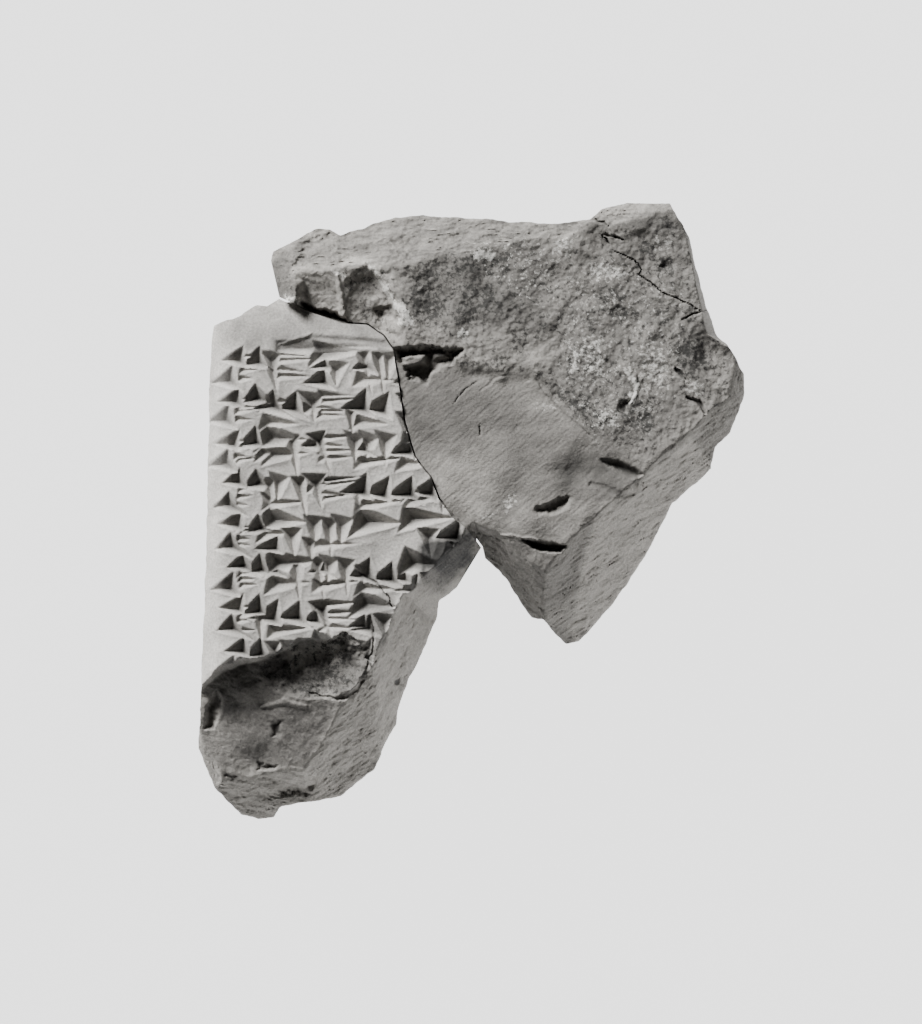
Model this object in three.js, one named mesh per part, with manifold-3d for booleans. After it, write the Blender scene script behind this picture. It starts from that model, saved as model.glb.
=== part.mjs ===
// A broken cuneiform tablet, lying on its back: two fragments of fired clay that join along one crack.
// Millimetres, +Z up, +Y towards the top of the writing, origin under the middle of the piece.
import * as THREE from 'three';
import { mergeVertices } from 'three/addons/utils/BufferGeometryUtils.js';
import Module from 'manifold-3d';

const wasm = await Module();
wasm.setup();

// Size of the whole piece
const pieceWidth = 68.4;
const pieceLength = 77.2;
const crestHeight = 29; // highest point of the core fragment
const faceHeight = 27; // inscribed face of the written fragment

// Broken sides and underside
const wallStep = 2.1; // spacing of the corners along a broken side
const wallRoughness = 0.28;
const girthHeight = 6; // above this level the sides stand straight
const undersideInset = 2.6; // how far the flat underside draws in where the outline is farthest out
const facetStep = 3.1; // spacing of the corners on a fracture face

// The crack between the fragments
const joinGap = 0.35;
const joinStep = 3.4; // spacing of the corners along the crack
const joinRoughness = 0.1;

// Writing
const rowPitch = 5.2;
const rowCount = 8;
const sideMargin = 2.3; // from the left side to the first strokes
const headSpace = 2.8; // from the head margin to the middle of the first row
const groupWidth = 5.7; // one cluster of strokes
const rungPitch = 0.8; // between the short strokes of a stack

// How far a cutting tool stands out beyond what it cuts
const toolClearance = 1.2;

// The outline, in percent of the width from the left and of the length from the bottom.
// Both breaks run clockwise between the ends of the crack.
const crack = [[15, 84.6], [20.5, 82.5], [26.5, 80.6], [31.1, 80.4], [34, 78.6], [35.8, 76.3],
  [37.3, 69], [37.8, 64.5], [39.7, 59.2], [42.6, 55.6], [44.1, 52.4], [46.4, 49.4], [49.2, 47.5],
  [51.9, 44.4]];
const coreBreak = [[13.5, 90.6], [13.9, 92.1], [21.6, 95.8], [24.3, 95.6], [26, 94.7], [36, 97.7],
  [41.5, 97.9], [64.7, 96.4], [71.5, 97.2], [73.5, 98.9], [78.4, 100], [86.1, 99.7], [89.4, 94.5],
  [92.9, 83], [94.7, 78.4], [97.4, 76.2], [99.8, 72.3], [100, 69.4], [97.3, 62.9], [94.5, 60.6],
  [94, 57.1], [86.8, 51.4], [82.1, 43.1], [76.1, 35], [69.8, 28.8], [67.3, 28.5], [63.1, 32.4],
  [61.2, 32.9], [55.4, 40.2], [52.5, 42.6]];
const writtenBreak = [[47.3, 37.8], [44.2, 35.7], [43.5, 32.6], [40.4, 26.4], [37.3, 20.6], [36, 15.6],
  [32, 8.1], [26, 3.7], [15, 2.1], [13.7, 0.3], [10.8, 0], [7.7, 0.8], [3.1, 5.2], [0, 11.7],
  [0.7, 21.2], [1.5, 40.7], [2.4, 75.5], [3.1, 80.2], [7.9, 81.7], [10.8, 83.5], [12.8, 83.3]];
const middle = [44.2, 63.4]; // every corner of the outline can be seen from here
const crackBeyond = [[5, 97], [52.5, -15]]; // the crack, carried on past the outline at both ends

// Fracture faces: a point on each, its height as a share of the fragment's, the way it runs downhill and
// how steep it is, in degrees. reach is how far it runs from the point: along the face both ways, seen
// from above clockwise and counterclockwise of downhill, then uphill and downhill.
const writtenFaces = {
  face: { at: [24, 55], z: 1, facing: -90, dip: 0.3, rough: 0.08 },
  headMargin: { at: [18.6, 77.4], z: 1, facing: 92, dip: 25, rough: 0.25 },
  sideCurveUpper: { at: [5.7, 48.8], z: 1, facing: 177.7, dip: 33, rough: 0.05 },
  sideCurveLower: { at: [3.9, 48.8], z: 0.965, facing: 177.7, dip: 64, rough: 0.05 },
  breakUpper: { at: [43.7, 42.1], z: 1, facing: -43.7, dip: 73, rough: 0.5, reach: [5.8, 20, 60, 60] },
  breakMiddle: { at: [35, 32.3], z: 1, facing: -25, dip: 68, rough: 0.55, reach: [60, 4, 60, 60] },
  breakLower: { at: [27.8, 18.8], z: 0.86, facing: -49, dip: 57, rough: 0.65 },
  footBreak: { at: [14, 15.5], z: 0.8, facing: -112, dip: 25, rough: 0.6 },
  footRim: { at: [16.8, 5.5], z: 0.62, facing: -93, dip: 56, rough: 0.5 },
  footCorner: { at: [4, 9], z: 0.7, facing: -147, dip: 60, rough: 0.4 },
};
const coreFaces = {
  topBreak: { at: [66.2, 79.6], z: 0.942, facing: -80, dip: 6, rough: 0.42, bow: 0.9 },
  headBand: { at: [44.2, 91.6], z: 0.982, facing: 101, dip: 34, rough: 0.5 },
  headBandWest: { at: [22, 91], z: 0.973, facing: 118, dip: 38, rough: 0.5 },
  eastSide: { at: [90.3, 90.6], z: 0.922, facing: 11, dip: 76, rough: 0.3, reach: [9.2, 40, 40, 40] },
  eastBulge: { at: [97, 70.5], z: 0.903, facing: -8, dip: 62, rough: 0.4 },
  eastShoulder: { at: [91, 70], z: 0.917, facing: 6, dip: 19, rough: 0.4, reach: [9, 6, 8, 20] },
  cornerBreak: { at: [84.5, 59.8], z: 0.908, facing: -49, dip: 60, rough: 0.6 },
  prongTop: { at: [60, 48.5], z: 0.884, facing: -96, dip: 22, rough: 0.5 },
  prongBreak: { at: [60, 44], z: 0.857, facing: -125, dip: 57, rough: 0.7, reach: [6.3, 40, 40, 40] },
  smoothFloor: { at: [42.4, 63.4], z: 0.911, facing: -42, dip: 2.4, rough: 0.22, reach: [24, 12.5, 5.5, 34] },
  tongueFront: { at: [22.5, 88], z: 0.959, facing: -112, dip: 29, rough: 0.35, reach: [14, 2.9, 9, 14] },
  tongueBowl: { at: [30.6, 85.7], z: 0.93, facing: -64, dip: 18, rough: 0.3, bow: 9,
    reach: [3, 2.6, 6.5, 7] },
  tongueEnd: { at: [17, 88], z: 0.95, facing: 190, dip: 35, rough: 0.3, reach: [8, 8, 6, 12] },
};

// Hollows left by flakes and missing crumbs: the centre, how far it lies under the fragment's top,
// the half sizes, and the turn in degrees.
const writtenHollows = [
  { at: [17.7, 22.6], under: -2.6, radii: [11.9, 6.5, 6.3], turn: 17 }, // flake that took the last lines
  { at: [3.4, 18], under: 3.4, radii: [0.9, 4, 3], turn: -14 },
];
const coreHollows = [
  { at: [23.2, 81.6], under: 3.6, radii: [3.4, 0.7, 4], turn: -27 }, // open crack under the tongue
  { at: [76, 57.2], under: 3.6, radii: [4, 1, 1.5], turn: -16 },
  { at: [64.6, 51.4], under: 3.7, radii: [2, 0.6, 1.6], turn: 6 },
  { at: [64.4, 44.6], under: 4.9, radii: [2.7, 0.7, 2.6], turn: -8 },
];

// A point of the outline's percentages in millimetres, from the middle of the piece.
function place([across, up]) {
  return new THREE.Vector2((across / 100 - 0.5) * pieceWidth, (up / 100 - 0.5) * pieceLength);
}

// An even, repeatable value between 0 and 1 for a whole number.
function chance(n) {
  const value = Math.sin(n * 12.9898 + 4.1) * 43758.5453;
  return value - Math.floor(value);
}

// Gentle unevenness of broken clay, between about -1 and 1.
function lumps(x, y, phase) {
  return (Math.sin(0.42 * x + 0.61 * y + phase) + Math.sin(0.93 * x - 0.51 * y + 2.3 * phase)
    + 0.7 * Math.sin(1.31 * x + 1.47 * y + 0.7 * phase)) / 2.2;
}

// A line through the corners with a point every step, each moved a little off the line.
function roughLine(corners, step, roughness) {
  const points = [];
  for (let i = 0; i + 1 < corners.length; i += 1) {
    const from = corners[i];
    const along = corners[i + 1].clone().sub(from);
    const count = Math.max(1, Math.round(along.length() / step));
    const side = new THREE.Vector2(-along.y, along.x).normalize();
    for (let k = 0; k < count; k += 1) {
      const offset = k === 0 ? 0 : roughness * lumps(from.x + i * 3.1, from.y, k * 2.4);
      points.push(from.clone().addScaledVector(along, k / count).addScaledVector(side, offset));
    }
  }
  points.push(corners[corners.length - 1].clone());
  return points;
}

function toSolid(geometry) {
  geometry.deleteAttribute('normal');
  geometry.deleteAttribute('uv');
  const merged = mergeVertices(geometry, 1e-4);
  return new wasm.Manifold(new wasm.Mesh({
    numProp: 3,
    vertProperties: new Float32Array(merged.attributes.position.array),
    triVerts: new Uint32Array(merged.index.array),
  }));
}

function toGeometry(solid) {
  const mesh = solid.getMesh();
  const geometry = new THREE.BufferGeometry();
  geometry.setAttribute('position', new THREE.BufferAttribute(mesh.vertProperties, mesh.numProp));
  geometry.setIndex(new THREE.BufferAttribute(mesh.triVerts, 1));
  geometry.computeVertexNormals();
  return geometry;
}

// The unbroken mass: the silhouette at each level, drawn in towards the underside.
function clayBody() {
  const corners = [crack[0], ...coreBreak, crack[crack.length - 1], ...writtenBreak, crack[0]];
  const outline = roughLine(corners.map(place), wallStep, wallRoughness).slice(0, -1).reverse();
  const heart = place(middle);
  const farthest = Math.max(...outline.map((point) => point.distanceTo(heart)));
  const drawnIn = undersideInset / farthest;
  const levels = [
    { z: 0, share: 1 - drawnIn },
    { z: girthHeight / 5, share: 1 - drawnIn / 2 },
    { z: girthHeight / 2, share: 1 - drawnIn / 5 },
    { z: girthHeight, share: 1 },
    { z: (girthHeight + faceHeight) / 2, share: 1 },
    { z: crestHeight + toolClearance, share: 1 },
  ];
  const count = outline.length;
  const positions = levels.flatMap(({ z, share }) => outline.flatMap((point) => {
    const moved = point.clone().sub(heart).multiplyScalar(share).add(heart);
    return [moved.x, moved.y, z];
  }));
  const index = [];
  for (let ring = 0; ring + 1 < levels.length; ring += 1) {
    for (let i = 0; i < count; i += 1) {
      const a = ring * count + i;
      const b = ring * count + ((i + 1) % count);
      index.push(a, b, b + count, a, b + count, a + count);
    }
  }
  const topRing = (levels.length - 1) * count;
  THREE.ShapeUtils.triangulateShape(outline, []).forEach(([a, b, c]) => {
    index.push(a, c, b, topRing + a, topRing + b, topRing + c);
  });
  const geometry = new THREE.BufferGeometry();
  geometry.setAttribute('position', new THREE.Float32BufferAttribute(positions, 3));
  geometry.setIndex(index);
  return toSolid(geometry);
}

// Everything on one side of the crack. side is 1 for the core fragment and -1 for the written one.
function sideOfCrack(side) {
  const route = [crackBeyond[0], ...crack, crackBeyond[1]].map(place);
  const line = roughLine(route, joinStep, joinRoughness);
  const moved = line.map((point, i) => {
    const before = line[Math.max(0, i - 1)];
    const after = line[Math.min(line.length - 1, i + 1)];
    const along = after.clone().sub(before).normalize();
    return point.clone().addScaledVector(new THREE.Vector2(-along.y, along.x), (side * joinGap) / 2);
  });
  const beyond = side * (pieceWidth + pieceLength);
  const corners = [...moved, new THREE.Vector2(beyond, -pieceLength), new THREE.Vector2(beyond, pieceLength)];
  const depth = crestHeight + 3 * toolClearance;
  const region = new THREE.ExtrudeGeometry(new THREE.Shape(corners), { depth, bevelEnabled: false });
  return toSolid(region.translate(0, 0, -toolClearance));
}

const fullReach = [pieceLength, pieceLength, pieceLength, pieceLength];

// A slab lying on a fracture face, whose rough underside is the face itself.
function fractureTool({ at, z, facing, dip, rough, bow = 0, reach = fullReach }, height, phase) {
  const [clockwise, counter, uphill, downhill] = reach;
  const [long, wide, thick] = [clockwise + counter, uphill + downhill, crestHeight];
  const steps = (size) => Math.round(size / facetStep);
  const slab = new THREE.BoxGeometry(long, wide, thick, steps(long), steps(wide), 1);
  slab.translate((counter - clockwise) / 2, (uphill - downhill) / 2, thick / 2);
  const position = slab.attributes.position;
  for (let i = 0; i < position.count; i += 1) {
    if (position.getZ(i) < 1e-6) {
      const x = position.getX(i);
      const y = position.getY(i);
      position.setZ(i, rough * lumps(x, y, phase) + bow * ((2 * y) / pieceLength) ** 2);
    }
  }
  const way = THREE.MathUtils.degToRad(facing);
  const lean = THREE.MathUtils.degToRad(dip);
  const slope = Math.sin(lean);
  const normal = new THREE.Vector3(slope * Math.cos(way), slope * Math.sin(way), Math.cos(lean));
  const strike = new THREE.Vector3(-Math.sin(way), Math.cos(way), 0);
  const turned = new THREE.Matrix4().makeBasis(strike, normal.clone().cross(strike), normal);
  const spot = place(at);
  turned.setPosition(spot.x, spot.y, z * height);
  return toSolid(slab.applyMatrix4(turned));
}

// The lump of missing clay above a hollow.
function hollowTool({ at, under, radii, turn }, height, phase) {
  const lump = new THREE.IcosahedronGeometry(1, 2);
  const position = lump.attributes.position;
  for (let i = 0; i < position.count; i += 1) {
    const spread = 1 + 0.07 * lumps(position.getX(i) * 3, position.getY(i) * 3 + position.getZ(i), phase);
    position.setXYZ(i, position.getX(i) * spread, position.getY(i) * spread, position.getZ(i) * spread);
  }
  lump.scale(...radii);
  lump.rotateZ(THREE.MathUtils.degToRad(turn));
  const spot = place(at);
  return toSolid(lump.translate(spot.x, spot.y, height - under));
}

// One press of the reed's corner: a pyramid with its deepest point near the broad head.
// angle is the way the tail points, in degrees from +X. The head slants and the far wall is the steeper one.
function strokeTool({ x, y, angle, length, halfWidth, depth, under = 0 }, height) {
  const deepest = new THREE.Vector3(0.08 * length + 0.6 * halfWidth, 0.02 * halfWidth, -depth);
  const rim = [
    new THREE.Vector3(0.15 * halfWidth, halfWidth, 0),
    new THREE.Vector3(-0.25 * halfWidth, -halfWidth, 0),
    new THREE.Vector3(length, 0.1 * halfWidth, 0),
  ];
  const grow = (depth + toolClearance) / depth;
  const corners = [deepest, ...rim.map((point) => deepest.clone().lerp(point, grow))];
  const geometry = new THREE.BufferGeometry().setFromPoints(corners);
  geometry.setIndex([1, 2, 3, 0, 2, 1, 0, 3, 2, 0, 1, 3]);
  geometry.rotateZ(THREE.MathUtils.degToRad(angle));
  return toSolid(geometry.translate(x, y, height - under));
}

// A stack of short strokes, one under the other.
function stack(x, y, count, length, halfWidth) {
  const rung = [0, length, halfWidth, 1.1 * halfWidth];
  return Array.from({ length: count }, (_, i) => [x, y - i * rungPitch, ...rung]);
}

// Clusters of strokes: place from the cluster's left middle, tail angle, length, half width and depth.
// The first one opens most rows. They spell nothing.
const clusters = [
  [[0.45, -1.1, -40, 3.6, 1.6, 1.4], [1.8, 1.5, -44, 3.2, 1.5, 1.3], ...stack(2.5, 0.8, 4, 2.2, 0.5),
    [4.1, 1.3, -28, 3.8, 1.5, 1.35]],
  [[0, 1.5, -2, 6.6, 1.8, 1.6], [0.4, -1, 1, 5.6, 1.3, 1.2], [3.6, 1.7, -88, 4.8, 1.2, 1.15]],
  [[0.9, 1.7, -78, 4.6, 1.4, 1.3], ...stack(1.4, 1.3, 4, 4.6, 0.6)],
  [[0.2, 0.7, -40, 4, 1.8, 1.5], [3, 0.6, -43, 3.8, 1.7, 1.45], [0.3, -1.7, 1, 5.6, 0.95, 0.9]],
  [[0, 1.4, -3, 6.2, 1.7, 1.5], [3.3, 0.4, -86, 3.6, 1.4, 1.2], [0.7, -1.1, -38, 3.4, 1.5, 1.3]],
  [[0.6, 1.8, -85, 4.7, 1.15, 1.1], [2.4, 1.9, -90, 4.6, 1.15, 1.1], [4.3, 1.8, -87, 4.5, 1.15, 1.1],
    [0.1, -1.8, 0, 5.8, 0.9, 0.85]],
];

// Single strokes between the clusters: tail angle, length, half width and depth
const between = [[-42, 3.2, 1.3, 1.1], [-88, 3.6, 1, 0.95], [-2, 4, 1.2, 1.05]];

// A patch where strokes were rubbed out, as percentages of the outline: centre and half sizes.
const rubbedOut = { at: [34, 46.5], radii: [5.5, 2.8] };

function isRubbedOut(x, y) {
  const centre = place(rubbedOut.at);
  const [across, up] = rubbedOut.radii;
  const reachX = (across / 100) * pieceWidth;
  const reachY = (up / 100) * pieceLength;
  return ((x - centre.x) / reachX) ** 2 + ((y - centre.y) / reachY) ** 2 < 1;
}

// All strokes, row by row. The rows ran on over what has broken away.
function writing() {
  const startX = place([0, 0]).x + sideMargin;
  const startY = place(writtenFaces.headMargin.at).y - headSpace;
  const endX = place(crack[crack.length - 1]).x;
  const strokes = [];
  for (let row = 0; row < rowCount; row += 1) {
    for (let slot = 0; startX + slot * groupWidth < endX; slot += 1) {
      const pick = slot === 0 ? 0 : 1 + Math.floor(chance(row * 11 + slot) * (clusters.length - 1));
      clusters[pick].forEach(([dx, dy, angle, length, halfWidth, depth], i) => {
        const luck = chance(row * 131 + slot * 17 + i) - 0.5;
        const x = startX + slot * groupWidth + dx + 0.3 * luck;
        const y = startY - row * rowPitch + dy + 0.3 * (chance(row * 57 + slot * 29 + i) - 0.5);
        const press = { angle: angle + 9 * luck, length: length * (1 + 0.2 * luck), halfWidth, depth };
        if (!isRubbedOut(x, y)) strokes.push({ x, y, ...press });
      });
      if (slot > 0) {
        const kind = Math.floor(chance(row * 29 + slot * 5) * between.length);
        const [angle, length, halfWidth, depth] = between[kind];
        const luck = chance(row * 83 + slot * 41);
        const x = startX + (slot - 0.1) * groupWidth + 1.6 * luck;
        const y = startY - row * rowPitch + 2.2 * chance(row * 19 + slot * 67) - 1.1;
        if (!isRubbedOut(x, y)) strokes.push({ x, y, angle: angle + 8 * luck, length, halfWidth, depth });
      }
    }
  }
  return strokes;
}

// The shallow trough above the first row.
const headTrough = { at: [14, 76.3], angle: 1, length: 13, halfWidth: 1.1, depth: 0.55 };

// The remnant of one deep stroke pair on the core fragment, beside the crack.
const coreStrokes = [
  { at: [35.6, 74.9], angle: 3, length: 9.6, halfWidth: 1.7, depth: 2.9, under: 2 },
  { at: [37, 72.8], angle: 12, length: 5, halfWidth: 1.5, depth: 2.2, under: 2 },
  { at: [48.2, 73.4], angle: 2, length: 4.6, halfWidth: 0.7, depth: 0.9, under: 2 },
];

// One fragment: its side of the crack, cut by its fracture faces, hollows and strokes.
function fragment(side, height, faces, hollows, strokes) {
  const tools = [
    ...Object.values(faces).map((face, i) => fractureTool(face, height, 1.3 + i * 1.9)),
    ...hollows.map((hollow, i) => hollowTool(hollow, height, i)),
    ...strokes.map((stroke) => strokeTool(stroke, height)),
  ];
  return tools.reduce((left, tool) => left.subtract(tool), clayBody().intersect(sideOfCrack(side)));
}

function mesh(name, solid, material) {
  const made = new THREE.Mesh(toGeometry(solid), material);
  made.name = name;
  return made;
}

const writtenClay = new THREE.MeshStandardMaterial({ color: 0xb9b6b0, roughness: 0.85 });
const coreClay = new THREE.MeshStandardMaterial({ color: 0x8d8b87, roughness: 0.95 });

const placed = ({ at, ...rest }) => ({ x: place(at).x, y: place(at).y, ...rest });
const writtenMarks = [placed(headTrough), ...writing()];
const coreMarks = coreStrokes.map(placed);
const writtenFragment = fragment(-1, faceHeight, writtenFaces, writtenHollows, writtenMarks);
const coreFragment = fragment(1, crestHeight, coreFaces, coreHollows, coreMarks);

const tablet = new THREE.Group();
tablet.add(
  mesh('written_fragment', writtenFragment, writtenClay),
  mesh('core_fragment', coreFragment, coreClay),
);

export default tablet;
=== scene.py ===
# A broken cuneiform tablet: two fragments of fired clay that meet along one crack, lying on a pale table.
# Shapes are worked out in millimetres and become metres when a mesh is made.
import math
import bpy
import numpy as np
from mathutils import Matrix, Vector
from mathutils.geometry import delaunay_2d_cdt


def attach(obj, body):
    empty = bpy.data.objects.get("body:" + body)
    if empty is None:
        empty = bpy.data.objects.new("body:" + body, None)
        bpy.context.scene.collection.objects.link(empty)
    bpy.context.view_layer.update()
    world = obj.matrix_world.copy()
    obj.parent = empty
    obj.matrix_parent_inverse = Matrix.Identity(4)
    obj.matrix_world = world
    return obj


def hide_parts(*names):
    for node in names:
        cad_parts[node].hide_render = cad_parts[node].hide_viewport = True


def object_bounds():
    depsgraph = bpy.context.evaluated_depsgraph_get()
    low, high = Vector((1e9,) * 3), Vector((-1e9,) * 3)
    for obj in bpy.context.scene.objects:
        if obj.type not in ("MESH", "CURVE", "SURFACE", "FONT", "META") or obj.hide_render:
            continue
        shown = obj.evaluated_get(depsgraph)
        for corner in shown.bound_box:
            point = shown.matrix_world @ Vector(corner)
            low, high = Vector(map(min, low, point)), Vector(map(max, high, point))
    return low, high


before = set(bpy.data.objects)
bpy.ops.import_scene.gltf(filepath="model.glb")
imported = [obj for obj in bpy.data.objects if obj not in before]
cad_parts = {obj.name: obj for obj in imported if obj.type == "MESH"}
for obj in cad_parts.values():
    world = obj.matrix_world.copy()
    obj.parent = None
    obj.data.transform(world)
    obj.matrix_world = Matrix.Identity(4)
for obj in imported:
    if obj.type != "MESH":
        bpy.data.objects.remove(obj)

solidLow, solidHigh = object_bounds()

# The whole tablet, as its solids have it, and how the walls of both fragments are finished. Lengths in mm
tablet = {
    "width": 68.4,
    "length": 77.2,
    "crestHeight": 29.0,
    "faceHeight": 27.0,
    "girthHeight": 6.0,       # above this level the sides stand straight
    "undersideInset": 2.6,    # how far the flat underside draws in where the outline is farthest out
    "joinGap": 0.2,
    "joinRoughness": 0.12,
    "joinDraft": 0.6,         # how far each wall of the join stands back below its rim
    "outlineStep": 0.25,      # spacing of the points along an outline
    "outlineRoughness": 0.26,
    "outlineMargin": 0.02,    # kept clear inside the width and the length
    "wallRings": 26,
    "ringCrowding": 1.25,     # above 1, the rings lie closer together under the rim
    "wallSmoothing": 17,      # outline points that are averaged into the line of a wall
    "wallGrain": 0.55,        # how deep the grain reaches into a broken wall
    "wallGrainSize": 4.2,
    "wallSkinGrain": 0.2,     # the share of it that is left on the tablet's own skin
    "wallInset": 0.03,
    "wallMottling": 0.16,
    "wallShading": 0.5,       # how much lighter and darker the grain makes a wall
    "rimShading": 0.8,        # how much of the rim's tone runs down the wall
    "sharpEdge": 55,          # degrees between two facets that show as an edge
}

# Outline corners, in percent of the width from the left and of the length from the bottom
crack = [[15, 84.6], [20.5, 82.5], [26.5, 80.6], [31.1, 80.4], [34, 78.6], [35.8, 76.3], [37.3, 69],
         [37.8, 64.5], [39.7, 59.2], [42.6, 55.6], [44.1, 52.4], [46.4, 49.4], [49.2, 47.5], [51.9, 44.4]]
coreBreak = [[13.5, 90.6], [13.9, 92.1], [21.6, 95.8], [24.3, 95.6], [26, 94.7], [36, 97.7], [41.5, 97.9],
             [64.7, 96.4], [71.5, 97.2], [73.5, 98.9], [78.4, 100], [86.1, 99.7], [89.4, 94.5], [92.9, 83],
             [94.7, 78.4], [97.4, 76.2], [99.8, 72.3], [100, 69.4], [97.3, 62.9], [94.5, 60.6], [94, 57.1],
             [86.8, 51.4], [82.1, 43.1], [76.1, 35], [69.8, 28.8], [67.3, 28.5], [63.1, 32.4], [61.2, 32.9],
             [55.4, 40.2], [52.5, 42.6]]
writtenBreak = [[47.3, 37.8], [44.2, 35.7], [43.5, 32.6], [40.4, 26.4], [37.3, 20.6], [36, 15.6], [32, 8.1],
                [26, 3.7], [15, 2.1], [13.7, 0.3], [10.8, 0], [7.7, 0.8], [3.1, 5.2], [0, 11.7], [0.7, 21.2],
                [1.5, 40.7], [2.4, 75.5], [3.1, 80.2], [7.9, 81.7], [10.8, 83.5], [12.8, 83.3]]
middle = [44.2, 63.4]         # the place that the walls draw in towards
untouched = 99.0              # a height above everything, where a surface hasn't been cut yet


def place(spots):
    # Percent of the width and length to millimetres from the middle of the tablet.
    return (np.asarray(spots, float) / 100 - 0.5) * [tablet["width"], tablet["length"]]


def mark(spots):
    # Eighths of a millimetre, right and down from the view's upper left corner, to millimetres.
    return (np.asarray(spots, float) - [471.5, 512.5]) * [0.125, -0.125]


# Noise and small shapes that the surfaces share

def hashOf(cells, seed):
    # Whole-number places to even values between 0 and 1: multiply, mix the bits, scale.
    keys = (cells + seed * 101).astype(np.uint32)
    mixed = keys[..., 0] * np.uint32(2654435761) ^ keys[..., 1] * np.uint32(2246822519)
    mixed = mixed ^ keys[..., 2] * np.uint32(3266489917)
    mixed = (mixed ^ (mixed >> np.uint32(15))) * np.uint32(739982445)
    mixed = (mixed ^ (mixed >> np.uint32(12))) * np.uint32(695872825)
    return (mixed ^ (mixed >> np.uint32(15))).astype(float) / 4294967296


def softNoise(points, seed):
    # Value noise: the eight hashed corners round a point, blended by 6t^5 - 15t^4 + 10t^3; from -1 to 1.
    base = np.floor(points)
    part = points - base
    part = part ** 3 * (part * (part * 6 - 15) + 10)
    base = base.astype(np.int64)
    total = np.zeros(len(points))
    for corner in range(8):
        step = np.array([corner & 1, corner >> 1 & 1, corner >> 2 & 1])
        share = np.prod(np.where(step == 1, part, 1 - part), axis=1)
        total += share * hashOf(base + step, seed)
    return total * 2 - 1


turnEach = np.array([[0.36, 0.48, -0.8], [-0.8, 0.6, 0.0], [0.48, 0.64, 0.6]])


def grain(points, size, octaves, seed, gain=0.55):
    # Sum of noise layers, each half the size and gain times the height of the one before, turned between.
    scaled = points @ turnEach / size + seed * 1.7
    total, weight, full = np.zeros(len(points)), 1.0, 0.0
    for layer in range(octaves):
        total += weight * softNoise(scaled, seed + layer)
        full += weight
        weight *= gain
        scaled = scaled @ turnEach * 2.03 + 5.7
    return total / full


def ridges(points, size, octaves, seed):
    # Creased noise: 1 - 2|n| for each layer, so that crests are sharp and hollows are round.
    scaled = points @ turnEach / size + seed * 1.3
    total, weight, full = np.zeros(len(points)), 1.0, 0.0
    for layer in range(octaves):
        total += weight * (1 - 2 * np.abs(softNoise(scaled, seed + layer)))
        full += weight
        weight *= 0.5
        scaled = scaled @ turnEach * 2.1 + 3.3
    return total / full


def chips(points, size, seed):
    # Scallops: the least, over the cells round a point, of squared distance to the cell's seed plus its
    # level.
    scaled = points / size
    base = np.floor(scaled).astype(np.int64)
    least = np.full(len(points), 9.0)
    for corner in range(27):
        cell = base + np.array([corner % 3 - 1, corner // 3 % 3 - 1, corner // 9 - 1])
        seeds = cell + np.stack([hashOf(cell, seed + k) for k in range(3)], axis=1)
        least = np.minimum(least, ((scaled - seeds) ** 2).sum(axis=1) + 0.45 * hashOf(cell, seed + 3))
    return least


def stretched(points, direction, along, across):
    # Points with one direction drawn out, for fibres: divided by along that way and by across the others.
    way = np.asarray(direction, float) / np.linalg.norm(direction)
    run = points @ way
    return points / across + np.outer(run * (1 / along - 1 / across), way)


def fibresAt(spots, direction, seed):
    # Creased noise drawn out along a direction, on places that wander by up to 0.9 mm, so that strands bend.
    wander = np.stack([grain(spots, 3.2, 2, seed + k) for k in range(3)], axis=1)
    return ridges(stretched(spots + 0.9 * wander, direction, 3.6, 0.34), 1, 3, seed)


def ease(value, low, high):
    # 0 below low, 1 above high, 3t^2 - 2t^3 between.
    t = np.clip((value - low) / (high - low), 0, 1)
    return t * t * (3 - 2 * t)


def softMin(a, b, width):
    # The lower of two heights, rounded where they are within width of each other.
    near = np.maximum(width - np.abs(a - b), 0) / width
    return np.minimum(a, b) - near * near * width / 4


def toLine(x, y, corners):
    # Distance to a line of corners, which side of it (1 left, -1 right), and how far along it the nearest
    # place is (0 to 1): for each stretch the clamped projection, then the nearest of them.
    best, side, along = np.full(len(x), 1e9), np.ones(len(x)), np.zeros(len(x))
    lengths = np.linalg.norm(np.diff(corners, axis=0), axis=1)
    ends = np.concatenate([[0], np.cumsum(lengths)])
    for i, (a, b) in enumerate(zip(corners[:-1], corners[1:])):
        way = (b - a) / lengths[i]
        run = np.clip((x - a[0]) * way[0] + (y - a[1]) * way[1], 0, lengths[i])
        gapX, gapY = x - a[0] - way[0] * run, y - a[1] - way[1] * run
        far = np.hypot(gapX, gapY)
        nearer = far < best
        best = np.where(nearer, far, best)
        side = np.where(nearer, np.sign(way[0] * gapY - way[1] * gapX), side)
        along = np.where(nearer, (ends[i] + run) / ends[-1], along)
    return best, side, along


def insideOf(x, y, corners):
    # Even-odd rule: each edge that a line to the right crosses turns inside to outside.
    inside = np.zeros(len(x), bool)
    for a, b in zip(corners, np.roll(corners, -1, axis=0)):
        if a[1] != b[1]:
            crosses = (a[1] > y) != (b[1] > y)
            inside ^= crosses & (x < (b[0] - a[0]) * (y - a[1]) / (b[1] - a[1]) + a[0])
    return inside


def within(x, y, corners, blur):
    # 1 inside a closed line of corners and 0 outside, eased over blur on both sides of it.
    closed = np.vstack([corners, corners[:1]])
    far = toLine(x, y, closed)[0]
    signed = np.where(insideOf(x, y, corners), far, -far)
    return ease(signed, -blur, blur)


def leftOf(points):
    # The unit vector to the left of a line at each of its points: its direction turned by a right angle.
    ways = np.gradient(points, axis=0)
    ways /= np.linalg.norm(ways, axis=1)[:, None]
    return np.stack([-ways[:, 1], ways[:, 0]], axis=1)


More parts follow.
